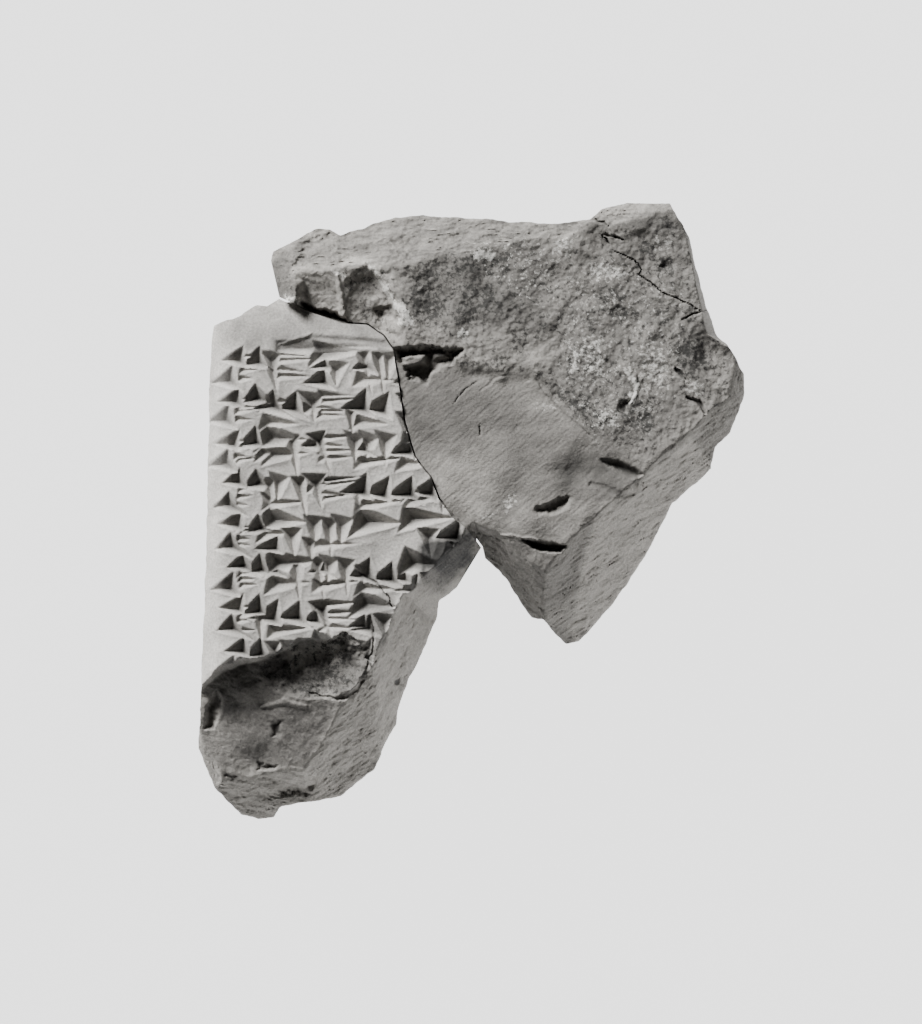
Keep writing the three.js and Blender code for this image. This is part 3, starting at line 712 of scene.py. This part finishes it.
# The core fragment: the tablet's inside, broken on every side. Its faces also say how grainy and fibrous
# they are. Some have an area, in eighths of a mm, with a blur in mm, because they end at an uneven line and
# not where another face meets them
core = {
    "spacing": 0.165,
    "grainHeight": 0.28,
    "swellHeight": 0.35,
    "fibreHeight": 0.08,
    "faintFibre": 0.25,        # faces less fibrous than this draw no fibres
    "calm": 0.75,              # the grain that the smooth floor takes from flat faces
    "calmDip": 30,             # a face that falls by less than this is flat
    "faceRound": 0.3,
    "chipHeight": 0.14,
    "crumbHeight": 0.12,
    "furrowHeight": 0.05,
    "furrowShading": 0.14,
    "faces": {
        "topBreak": {"at": [66.2, 79.6], "z": 0.942, "facing": -80, "dip": 6, "rough": 0.42, "bow": 0.9,
                     "grain": 1.0, "fibre": 0.2},
        "headBand": {"at": [44.2, 91.6], "z": 0.982, "facing": 101, "dip": 34, "rough": 0.5,
                     "grain": 1.9, "fibre": 2.0},
        "headBandWest": {"at": [22, 91], "z": 0.973, "facing": 118, "dip": 38, "rough": 0.5,
                         "grain": 1.9, "fibre": 2.0},
        "eastSide": {"at": [90.3, 90.6], "z": 0.922, "facing": 11, "dip": 76, "rough": 0.3,
                     "reach": [9.2, 40, 40, 40], "grain": 0.5, "fibre": 0.6},
        "eastBulge": {"at": [97, 70.5], "z": 0.903, "facing": -8, "dip": 62, "rough": 0.4,
                      "grain": 0.8, "fibre": 1.4, "round": 3.4},
        "eastShoulder": {"at": [91, 70], "z": 0.917, "facing": 6, "dip": 19, "rough": 0.4,
                         "grain": 1.0, "fibre": 0.3, "blur": 2.0,
                         "area": [[674, 346], [700, 336], [730, 350], [735, 420], [708, 436], [684, 420],
                                  [678, 390]]},
        "cornerBreak": {"at": [84.5, 59.8], "z": 0.908, "facing": -49, "dip": 60, "rough": 0.6,
                        "grain": 0.6, "fibre": 1.4},
        "prongTop": {"at": [60, 48.5], "z": 0.884, "facing": -96, "dip": 22, "rough": 0.5,
                     "grain": 0.7, "fibre": 0.8},
        "prongBreak": {"at": [60, 44], "z": 0.857, "facing": -125, "dip": 57, "rough": 0.7,
                       "grain": 0.7, "fibre": 1.3, "blur": 0.5,
                       "area": [[474, 526], [500, 533], [530, 538], [562, 546], [600, 560], [600, 680],
                                [400, 680], [470, 540]]},
        "smoothFloor": {"at": [42.4, 63.4], "z": 0.911, "facing": -42, "dip": 2.4, "rough": 0.22,
                        "grain": 0.3, "fibre": 0.0, "blur": 1.2,
                        "area": [[394, 350], [430, 372], [466, 372], [500, 379], [530, 376], [545, 395],
                                 [565, 415], [592, 436], [640, 462], [625, 500], [585, 520], [560, 545],
                                 [520, 552], [476, 545], [420, 480], [396, 400]]},
        "tongueFront": {"at": [22.5, 88], "z": 0.959, "facing": -112, "dip": 29, "rough": 0.35,
                        "grain": 0.74, "fibre": 1.2, "blur": 1.1,
                        "area": [[297, 258], [343, 270], [346, 330], [296, 330]]},
        "tongueBowl": {"at": [30.6, 85.7], "z": 0.93, "facing": -64, "dip": 18, "rough": 0.3, "bow": 9,
                       "grain": 1.1, "fibre": 0.3, "blur": 1.5,
                       "area": [[343, 266], [366, 262], [384, 282], [397, 320], [396, 336], [342, 336]]},
        "tongueEnd": {"at": [17, 88], "z": 0.95, "facing": 190, "dip": 35, "rough": 0.3,
                      "grain": 0.9, "fibre": 0.6, "blur": 0.9,
                      "area": [[262, 262], [299, 258], [296, 304], [262, 306]]},
    },
    # The darkness of each cut is painted shade in its crack, pit, gap or slope
    "cuts": [
        {"at": [[396, 350], [420, 349], [462, 350], [452, 362], [438, 369], [431, 372], [427, 384],
         [410, 376], [399, 362]], "blur": 0.4, "deep": 1.8, "dark": 0.45, "uneven": 0.5},
        {"at": [[401, 359], [411, 355], [425, 355], [426, 365], [406, 368]], "blur": 0.35, "deep": -1.75,
         "dark": 0},
        {"at": [[432, 353], [446, 352], [448, 358], [434, 360]], "blur": 0.3, "deep": -0.8, "dark": 0.3},
        {"at": [[301, 303], [318, 311], [330, 313], [345, 320], [352, 326], [340, 334], [318, 324],
         [304, 312]], "blur": 0.3, "deep": 3.0, "dark": 0.95, "uneven": 0.4},
        {"at": [[376, 312], [384, 308], [394, 307], [393, 316], [380, 319]], "blur": 0.4, "deep": 0.7,
         "dark": 0.5},
        {"at": [[462, 372], [468, 362], [474, 368], [502, 373], [500, 378], [470, 378]], "blur": 0.5,
         "deep": 0.15, "dark": 0.2, "uneven": 0.4},
        {"at": [[536, 380], [545, 395], [565, 415], [592, 437]], "wide": 0.25, "deep": 0.12, "dark": 0.3},
        {"at": [[556, 470], [580, 452], [612, 456], [642, 474], [632, 484], [604, 482], [570, 486]],
         "blur": 1.8, "deep": 0.6, "dark": 0.25},
        {"at": [[600, 460], [618, 462], [642, 474], [636, 478], [616, 470]], "blur": 0.35, "deep": 0.8,
         "dark": 0.75},
        {"at": [[590, 484], [606, 488], [622, 495], [632, 494]], "wide": 0.6, "deep": 0.22, "dark": 0.2},
        {"at": [[536, 509], [552, 502], [568, 498], [566, 506], [550, 513], [538, 513]], "blur": 0.45,
         "deep": 0.8, "dark": 0.5, "uneven": 0.4},
        {"at": [[522, 539], [542, 543], [565, 545], [561, 552], [546, 551], [533, 548]], "blur": 0.25,
         "deep": 1.7, "dark": 0.9},
        {"at": [[500, 535], [530, 538], [545, 543]], "wide": 0.3, "deep": -0.2},
        {"at": [[602, 236], [610, 246]], "wide": 0.2, "deep": 0.5, "dark": 0.8},
        {"at": [[602, 236], [622, 241]], "wide": 0.2, "deep": 0.5, "dark": 0.7},
        {"at": [[613, 252], [635, 262], [641, 270], [638, 276], [649, 283], [661, 294], [684, 303],
         [700, 312]], "wide": 0.13, "deep": 0.5, "dark": 0.8, "uneven": 0.15},
        {"at": [[681, 321], [692, 315], [706, 311]], "wide": 0.17, "deep": 0.5, "dark": 0.8,
         "uneven": 0.1},
        {"at": [[594, 220], [608, 227]], "wide": 0.2, "deep": 0.4, "dark": 0.7},
        {"at": [[664, 263], [673, 266], [670, 272], [661, 269]], "blur": 0.5, "deep": 0.5, "dark": 0.4},
        {"at": [[619, 404], [628, 400], [626, 414], [618, 412]], "blur": 0.35, "deep": 0.6, "dark": 0.45,
         "uneven": 0.4},
        {"at": [[686, 398], [698, 403], [705, 414]], "wide": 0.4, "deep": 0.6, "dark": 0.65,
         "uneven": 0.3},
        {"at": [[675, 370], [684, 380]], "wide": 0.4, "deep": 0.5, "dark": 0.65},
        {"at": [[480, 424], [481, 436]], "wide": 0.17, "deep": 0.25, "dark": 0.45},
        {"at": [[452, 404], [464, 392], [476, 382]], "wide": 0.14, "deep": 0.15, "dark": 0.15},
        {"at": [[480, 392], [496, 378], [506, 376]], "wide": 0.3, "deep": 0.12, "dark": 0.1},
        {"at": [[354, 282], [364, 276], [377, 281], [379, 295], [367, 302], [356, 295]], "blur": 0.9,
         "deep": 0.5, "dark": 0.1},
        {"at": [[342, 262], [384, 246], [430, 242], [470, 236]], "wide": 1.0, "deep": 0.25},
        {"at": [[300, 264], [310, 246], [330, 236]], "wide": 0.9, "deep": 0.25},
        {"at": [[622, 366], [634, 376], [637, 390], [631, 404]], "wide": 0.4, "deep": -0.15},
        {"at": [[338, 276], [341, 296], [345, 318]], "wide": 0.5, "deep": -0.35},
        {"at": [[365, 265], [383, 283], [392, 300], [402, 320]], "wide": 0.5, "deep": -0.3},
    ],
    "tones": [
        {"at": [[400, 262], [470, 250], [520, 240], [560, 262], [540, 320], [470, 325], [410, 320]],
         "blur": 1.8, "tone": -0.34},
        {"at": [[570, 262], [660, 232], [690, 240], [700, 340], [640, 420], [600, 430], [560, 400]],
         "blur": 2.2, "tone": -0.12},
        {"at": [[540, 385], [650, 380], [680, 420], [640, 452], [592, 436]], "blur": 1.2, "tone": -0.12},
        {"at": [[672, 343], [700, 340], [712, 372], [700, 385], [676, 380]], "blur": 0.8, "tone": -0.3},
        {"at": [[386, 330], [462, 330], [462, 347], [390, 347]], "blur": 0.4, "tone": 0.16},
        {"at": [[525, 338], [556, 335], [558, 368], [530, 372]], "blur": 0.7, "tone": 0.22},
        {"at": [[690, 405], [706, 408], [702, 436], [688, 430]], "blur": 0.6, "tone": 0.22},
        {"at": [[276, 262], [300, 240], [420, 214], [600, 218], [700, 200], [690, 236], [600, 226],
         [470, 250], [345, 277]], "blur": 0.7, "tone": -0.42},
        {"at": [[272, 258], [298, 258], [296, 304], [276, 300]], "blur": 0.5, "tone": -0.34},
        # Painted light that offsets the shade under the band's north edge
        {"at": [[342, 258], [380, 260], [380, 278], [344, 282]], "blur": 0.6, "tone": 0.55},
        {"at": [[296, 262], [396, 264], [400, 330], [300, 330]], "blur": 0.6, "tone": 0.3},
        {"at": [[350, 270], [372, 276], [388, 300], [384, 318], [352, 318]], "blur": 0.8, "tone": -0.2},
        {"at": [[400, 372], [470, 378], [520, 420], [470, 450], [410, 440]], "blur": 2.0, "tone": -0.38},
        {"at": [[500, 420], [570, 425], [590, 450], [560, 500], [500, 480]], "blur": 2.0, "tone": -0.22},
        {"at": [[430, 465], [470, 455], [500, 475], [485, 520], [445, 505]], "blur": 1.4, "tone": 0.4},
        {"at": [[476, 478], [520, 470], [530, 500], [500, 524], [478, 510]], "blur": 0.9, "tone": -0.12},
        {"at": [[530, 398], [562, 400], [560, 418], [530, 415]], "blur": 0.7, "tone": 0.18},
        # Painted shade on the slope down to the step
        {"at": [[580, 455], [640, 470], [628, 500], [560, 500], [556, 470]], "blur": 1.2, "tone": -0.4},
        {"at": [[500, 540], [545, 550], [580, 556], [575, 600], [548, 612], [520, 580]], "blur": 0.9,
         "tone": -0.12},
        {"at": [[550, 615], [585, 590], [600, 620], [575, 645]], "blur": 0.8, "tone": 0.2},
        # Painted light on the outward south-east bevel
        {"at": [[690, 435], [640, 478], [600, 506], [582, 560], [574, 640], [620, 620], [720, 470]],
         "blur": 0.6, "tone": 1.0},
        {"at": [[704, 330], [750, 360], [745, 430], [712, 470], [690, 436], [706, 400]], "blur": 0.7,
         "tone": 0.12},
    ],
    # Where specks of pale salt gather
    "salts": [
        {"at": [[600, 262], [650, 270], [690, 300], [660, 430], [600, 440], [560, 400], [550, 260]],
         "blur": 3.0, "tone": 0.16},
        {"at": [[470, 250], [500, 240], [560, 250], [540, 300], [500, 290]], "blur": 2.0, "tone": 0.2},
        {"at": [[588, 262], [626, 268], [624, 282], [594, 280]], "blur": 0.6, "tone": 0.55},
        {"at": [[552, 242], [572, 240], [570, 256], [554, 258]], "blur": 0.5, "tone": 0.5},
        {"at": [[652, 236], [672, 238], [668, 252], [654, 250]], "blur": 0.5, "tone": 0.4},
        {"at": [[640, 345], [670, 350], [664, 385], [640, 380]], "blur": 1.0, "tone": 0.4},
        {"at": [[560, 345], [600, 340], [610, 375], [570, 380]], "blur": 1.2, "tone": 0.35},
        {"at": [[596, 412], [618, 410], [616, 428], [598, 428]], "blur": 0.6, "tone": 0.45},
        {"at": [[680, 376], [702, 384], [698, 398], [682, 390]], "blur": 0.5, "tone": 0.5},
        {"at": [[502, 502], [512, 495], [518, 502], [506, 510]], "blur": 0.6, "tone": 0.8},
        {"at": [[478, 514], [494, 511], [494, 517], [480, 520]], "blur": 0.5, "tone": 0.6},
        {"at": [[535, 402], [556, 402], [556, 412], [535, 412]], "blur": 0.6, "tone": 0.3},
        {"at": [[394, 303], [404, 302], [416, 326], [400, 326]], "blur": 0.35, "tone": 1.0},
        {"at": [[285, 296], [302, 298], [300, 304], [286, 303]], "blur": 0.3, "tone": 0.8},
        {"at": [[458, 330], [468, 330], [467, 339], [458, 338]], "blur": 0.3, "tone": 0.9},
        {"at": [[366, 264], [372, 264], [386, 282], [398, 304], [390, 300], [378, 282]], "blur": 0.25,
         "tone": 0.8},
        {"at": [[622, 366], [630, 368], [639, 386], [633, 404], [628, 402], [632, 386]], "blur": 0.25,
         "tone": 0.9},
        {"at": [[474, 252], [496, 254], [494, 260], [474, 260]], "blur": 0.35, "tone": 0.8},
        {"at": [[334, 272], [346, 271], [347, 278], [335, 279]], "blur": 0.35, "tone": 0.7},
    ],
    # Where dark crusts gather, and two places that they leave free
    "crusts": [
        {"at": [[404, 262], [470, 252], [500, 300], [470, 325], [412, 318]], "blur": 1.4, "tone": 0.4},
        {"at": [[490, 256], [512, 258], [504, 284], [488, 280]], "blur": 0.8, "tone": 0.4},
        {"at": [[592, 288], [622, 292], [640, 318], [618, 322], [600, 306]], "blur": 0.7, "tone": 0.6},
        {"at": [[636, 238], [650, 240], [652, 256], [640, 254]], "blur": 0.5, "tone": 0.6},
        {"at": [[655, 258], [674, 262], [670, 274], [656, 272]], "blur": 0.5, "tone": 0.7},
        {"at": [[672, 343], [700, 342], [708, 368], [694, 376], [676, 372]], "blur": 0.7, "tone": 0.6},
        {"at": [[558, 395], [604, 400], [606, 424], [580, 428], [560, 412]], "blur": 0.9, "tone": 0.5},
        {"at": [[616, 396], [656, 400], [652, 430], [620, 428]], "blur": 0.8, "tone": 0.5},
        {"at": [[508, 336], [530, 338], [528, 354], [510, 352]], "blur": 0.6, "tone": 0.4},
        {"at": [[524, 372], [552, 374], [560, 392], [540, 392]], "blur": 0.7, "tone": 0.2},
        {"at": [[630, 318], [670, 322], [668, 338], [634, 334]], "blur": 1.0, "tone": 0.3},
        {"at": [[524, 338], [558, 336], [558, 368], [530, 372]], "blur": 0.6, "tone": -0.4},
        {"at": [[684, 408], [704, 408], [700, 434], [684, 430]], "blur": 0.6, "tone": -0.4},
    ],
}


def coreSurface(x, y):
    # The lowest of the fracture faces, each within its area and with its own texture, then scallops and
    # crumbs on the mottled break, furrows on the smooth floor, and the cuts.
    height = tablet["crestHeight"]
    z, streaks, finish = np.full(len(x), untouched), np.zeros(len(x)), np.zeros((2, len(x)))
    farX, farY = warped(x, y, 2.4, 0.9, 145)
    smooth = within(farX, farY, mark(core["faces"]["smoothFloor"]["area"]), 0.45)
    for i, face in enumerate(core["faces"].values()):
        calm = 1 - core["calm"] * smooth * (face["dip"] < core["calmDip"])
        drawn = face["fibre"] if face["fibre"] > core["faintFibre"] else 0
        heights = [calm * face["grain"] * core["grainHeight"], min(face["grain"], 1) * core["swellHeight"],
                   drawn * core["fibreHeight"]]
        plane, fibres = roughFaceAt(x, y, face, height, i, 0, heights, [141, 131, 151])
        share = within(farX, farY, mark(face["area"]), face["blur"]) if "area" in face else 1
        wide = face.get("round", core["faceRound"])
        lower = ease(z - plane, -wide / 4, wide / 4) * share
        finish = finish * (1 - lower) + np.array([[face["grain"]], [face["fibre"]]]) * lower
        streaks = streaks * (1 - lower) + drawn * fibres * lower
        z = z * (1 - share) + softMin(z, plane, wide) * share
    spots = np.column_stack([x, y, z])
    mottled = ease(finish[0], 0.75, 0.95) * (1 - smooth) * (1 - ease(finish[1], 0.5, 0.9))
    scallops = core["chipHeight"] * (chips(spots, 1.1, 161) - 0.5)
    z = z + mottled * (scallops + core["crumbHeight"] * grain(spots, 0.5, 3, 163, 0.7))
    furrows = ridges(stretched(spots, [1, 0.8, 0], 1.9, 0.3), 1, 3, 165)
    cut, dark = cutShapes(x, y, core["cuts"], 301)
    z = np.minimum(z + smooth * core["furrowHeight"] * furrows - cut, solidHigh[2] * 1000 - 0.02)
    # Tone: patches, cloudy grain of 1.4 to 4 mm, fibres, furrows
    tone = tonePatches(x, y, core["tones"], 331) + 0.2 * streaks
    tone = tone + 0.2 * grain(spots, 1.4, 4, 335) * (1 - 0.5 * smooth)
    tone = tone + mottled * (0.3 * grain(spots, 4.0, 3, 345) - 0.05)
    tone = tone + smooth * (core["furrowShading"] * (furrows - 0.5) + 0.2 * grain(spots, 3.0, 4, 347, 0.7))
    salt = np.clip(tonePatches(x, y, core["salts"], 337, 0.4), 0, 1)
    crusts = 0.32 + tonePatches(x, y, core["crusts"], 349, 0.7) + 0.5 * grain(spots, 3.0, 3, 353)
    mottled = mottled * np.clip(crusts, 0.02, 1)
    broken = np.ones(len(x))
    return z, {"broken": broken, "tone": tone, "dark": dark, "mottled": mottled, "salt": salt}


def coreSkin(x, y):
    # No wall of the core fragment is the tablet's own skin.
    return np.zeros(len(x))


# Clay, shaped and smoothed by hand while damp, then dried and fired. To the eye it is matt and pale, with
# fine grit that stands out where it broke, and dark crusts and specks of salt from the ground. The crust
# colour also lays painted shade in the strokes, cracks and pits. Its colours are nearly neutral. Noise is
# given by its scale per metre, its detail and its roughness
firedClay = {
    "skin": "#a3a09b",
    "inside": "#83807b",
    "crustAndShade": "#2b2a28",
    "salt": "#d8d6d0",
    "roughness": 0.9,
    "grit": [3300.0, 3.0, 0.7],        # grit of about 0.2 mm, drawn at 0.3 mm so that it shows: 1 / 0.0003
    "crust": [1700.0, 4.0, 0.7],       # crusts and holes up to 0.6 mm across
    "crumb": [2000.0, 4.0, 0.75],      # crumbs of salt up to 0.5 mm
    "gritShading": [0.76, 1.24],
    "toneShading": [0.1, 1.9],
    "gritHeight": 0.00016,
    "gritStrength": 0.6,
    "gathering": 0.22,                 # how far specks grow together where they lie thickest
    "speckEdge": 0.6,
}


def addNode(tree, kind, settings=None, links=None):
    # Adds one node, sets its inputs (by name or number) and properties, and joins inputs to other outputs.
    node = tree.nodes.new(kind)
    for name, value in (settings or {}).items():
        if isinstance(name, int) or name in node.inputs:
            node.inputs[name].default_value = value
        else:
            setattr(node, name, value)
    for name, source in (links or {}).items():
        tree.links.new(source, node.inputs[name])
    return node


def toLinear(hexColour):
    # sRGB hex to linear light: ((c + 0.055) / 1.055) ^ 2.4 for each channel.
    parts = [int(hexColour[i:i + 2], 16) / 255 for i in (1, 3, 5)]
    return [*(((c + 0.055) / 1.055) ** 2.4 if c > 0.04 else c / 12.92 for c in parts), 1]


def firedClayMaterial():
    # Skin or inside colour times tone, which holds some painted light and shade, and grit, then crusts,
    # salts and painted shade laid over, grit as bump.
    material = bpy.data.materials.new("fired_clay")
    material.use_nodes = True
    tree = material.node_tree
    tree.nodes.clear()
    spot = addNode(tree, "ShaderNodeTexCoord").outputs["Object"]
    broken, tone, dark, mottled, salt = (
        addNode(tree, "ShaderNodeAttribute", {"attribute_name": name}).outputs["Fac"]
        for name in ("broken", "tone", "dark", "mottled", "salt"))
    grit, crust, crumb = (
        addNode(tree, "ShaderNodeTexNoise", dict(zip(("Scale", "Detail", "Roughness"), firedClay[name])),
                {"Vector": spot}).outputs["Fac"]
        for name in ("grit", "crust", "crumb"))
    body = addNode(tree, "ShaderNodeMix", {"data_type": "RGBA", 6: toLinear(firedClay["skin"]),
                                           7: toLinear(firedClay["inside"])}, {0: broken}).outputs[2]
    speckle, shade = (
        addNode(tree, "ShaderNodeMapRange", {"From Min": low, "From Max": high, "To Min": darkest,
                                             "To Max": lightest}, {"Value": source}).outputs["Result"]
        for source, low, high, (darkest, lightest) in ((grit, 0.3, 0.7, firedClay["gritShading"]),
                                                       (tone, -1.0, 1.0, firedClay["toneShading"])))
    brightness = addNode(tree, "ShaderNodeMath", {"operation": "MULTIPLY"}, {0: speckle, 1: shade})
    colour = addNode(tree, "ShaderNodeVectorMath", {"operation": "SCALE"},
                     {"Vector": body, "Scale": brightness.outputs[0]}).outputs["Vector"]
    covers = []
    for share, specks, solid, most, laid in ((mottled, crust, 0.72, 0.85, "crustAndShade"),
                                             (salt, crumb, 0.7, 0.75, "salt")):
        gathered = addNode(tree, "ShaderNodeMath", {"operation": "MULTIPLY_ADD", 1: firedClay["gathering"]},
                           {0: share, 2: specks}).outputs[0]
        covered = addNode(tree, "ShaderNodeMapRange",
                          {"From Min": firedClay["speckEdge"], "From Max": solid, "To Max": most},
                          {"Value": gathered}).outputs["Result"]
        present = addNode(tree, "ShaderNodeMapRange", {"From Max": 0.1}, {"Value": share}).outputs["Result"]
        cover = addNode(tree, "ShaderNodeMath", {"operation": "MULTIPLY"}, {0: covered, 1: present})
        covers.append((cover.outputs[0], laid))
    # The dark attribute is painted shade, laid in the crust colour
    for cover, laid in [*covers, (dark, "crustAndShade")]:
        colour = addNode(tree, "ShaderNodeMix", {"data_type": "RGBA", 7: toLinear(firedClay[laid])},
                         {0: cover, 6: colour}).outputs[2]
    bump = addNode(tree, "ShaderNodeBump", {"Strength": firedClay["gritStrength"],
                                            "Distance": firedClay["gritHeight"]}, {"Height": grit})
    shader = addNode(tree, "ShaderNodeBsdfPrincipled", {"Roughness": firedClay["roughness"]},
                     {"Base Color": colour, "Normal": bump.outputs["Normal"]})
    addNode(tree, "ShaderNodeOutputMaterial", {}, {"Surface": shader.outputs["BSDF"]})
    return material


clay = firedClayMaterial()
writtenPiece = clayPiece("written_clay_fragment", outlineOf(writtenBreak, -1), written["spacing"],
                         writtenSurface, writtenSkin, 81)
corePiece = clayPiece("core_clay_fragment", outlineOf(coreBreak, 1), core["spacing"],
                      coreSurface, coreSkin, 91)
for piece, node, slotName in ((writtenPiece, "written_fragment", "written_clay"),
                              (corePiece, "core_fragment", "core_clay")):
    piece.data.materials.append(clay)
    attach(piece, "root")
    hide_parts(node)
print("fragments done")

# Table, lights and camera. Lengths in metres unless they say mm, angles in degrees
studio = {
    "tableColour": "#f4f4f4",
    "tableGlow": 2.7,
    "tableHalf": 2,
    "tableDepth": 0.0002,     # how far the table lies below the tablet
    "keyPower": 44.0,
    "keySize": 0.34,
    "keyAzimuth": 128.0,      # counterclockwise from +X
    "keyElevation": 31.0,
    "cardPower": 4.0,
    "cardSize": 0.9,
    "cardAzimuth": -35.0,
    "cardElevation": 3.0,
    "lightDistance": 1.2,
    "fill": 0.02,
    "viewHeight": 1.44,
    "focusHeight": 0.02,      # the level at which the view's length is measured
    "viewMiddle": [-1.31, 0.06],    # mm
    "viewLength": 128.0,      # mm of the tablet's plane over the picture's height
    "sensor": 36,             # mm
}


def softLight(name):
    # A square lamp that faces the tablet from an angle round it and an angle above the table.
    light = bpy.data.lights.new(name, "AREA")
    light.energy, light.size = studio[name + "Power"], studio[name + "Size"]
    lamp = bpy.data.objects.new(name, light)
    turn, rise = math.radians(studio[name + "Azimuth"]), math.radians(studio[name + "Elevation"])
    away = Vector((math.cos(turn) * math.cos(rise), math.sin(turn) * math.cos(rise), math.sin(rise)))
    lamp.location = away * studio["lightDistance"]
    lamp.rotation_euler = away.to_track_quat("Z", "Y").to_euler()
    bpy.context.scene.collection.objects.link(lamp)


def studioScene():
    # A sheet of lit paper, two lamps, a weak white fill, and a camera that looks straight down.
    mesh = bpy.data.meshes.new("table")
    half, depth = studio["tableHalf"], studio["tableDepth"]
    corners = [(-half, -half, -depth), (half, -half, -depth), (half, half, -depth), (-half, half, -depth)]
    mesh.from_pydata(corners, [], [(0, 1, 2, 3)])
    table = bpy.data.objects.new("table", mesh)
    bpy.context.scene.collection.objects.link(table)
    paper = bpy.data.materials.new("lit_paper")
    paper.use_nodes = True
    paper.node_tree.nodes.clear()
    sheet = addNode(paper.node_tree, "ShaderNodeBsdfPrincipled",
                    {"Base Color": [0.02, 0.02, 0.02, 1], "Roughness": 1, "Specular IOR Level": 0,
                     "Emission Color": toLinear(studio["tableColour"]),
                     "Emission Strength": studio["tableGlow"]})
    addNode(paper.node_tree, "ShaderNodeOutputMaterial", {}, {"Surface": sheet.outputs["BSDF"]})
    mesh.materials.append(paper)
    world = bpy.data.worlds.new("studio")
    world.use_nodes = True
    world.node_tree.nodes["Background"].inputs["Color"].default_value = [1, 1, 1, 1]
    world.node_tree.nodes["Background"].inputs["Strength"].default_value = studio["fill"]
    bpy.context.scene.world = world
    softLight("key")
    softLight("card")
    lens = bpy.data.cameras.new("view")
    lens.sensor_width = studio["sensor"]
    away = studio["viewHeight"] - studio["focusHeight"]
    lens.lens = studio["sensor"] * away / (studio["viewLength"] / 1000)
    lens.clip_start, lens.clip_end = 0.1, 10
    camera = bpy.data.objects.new("view", lens)
    camera.location = (*(shift / 1000 for shift in studio["viewMiddle"]), studio["viewHeight"])
    bpy.context.scene.collection.objects.link(camera)
    bpy.context.scene.camera = camera


studioScene()
print("studio done")
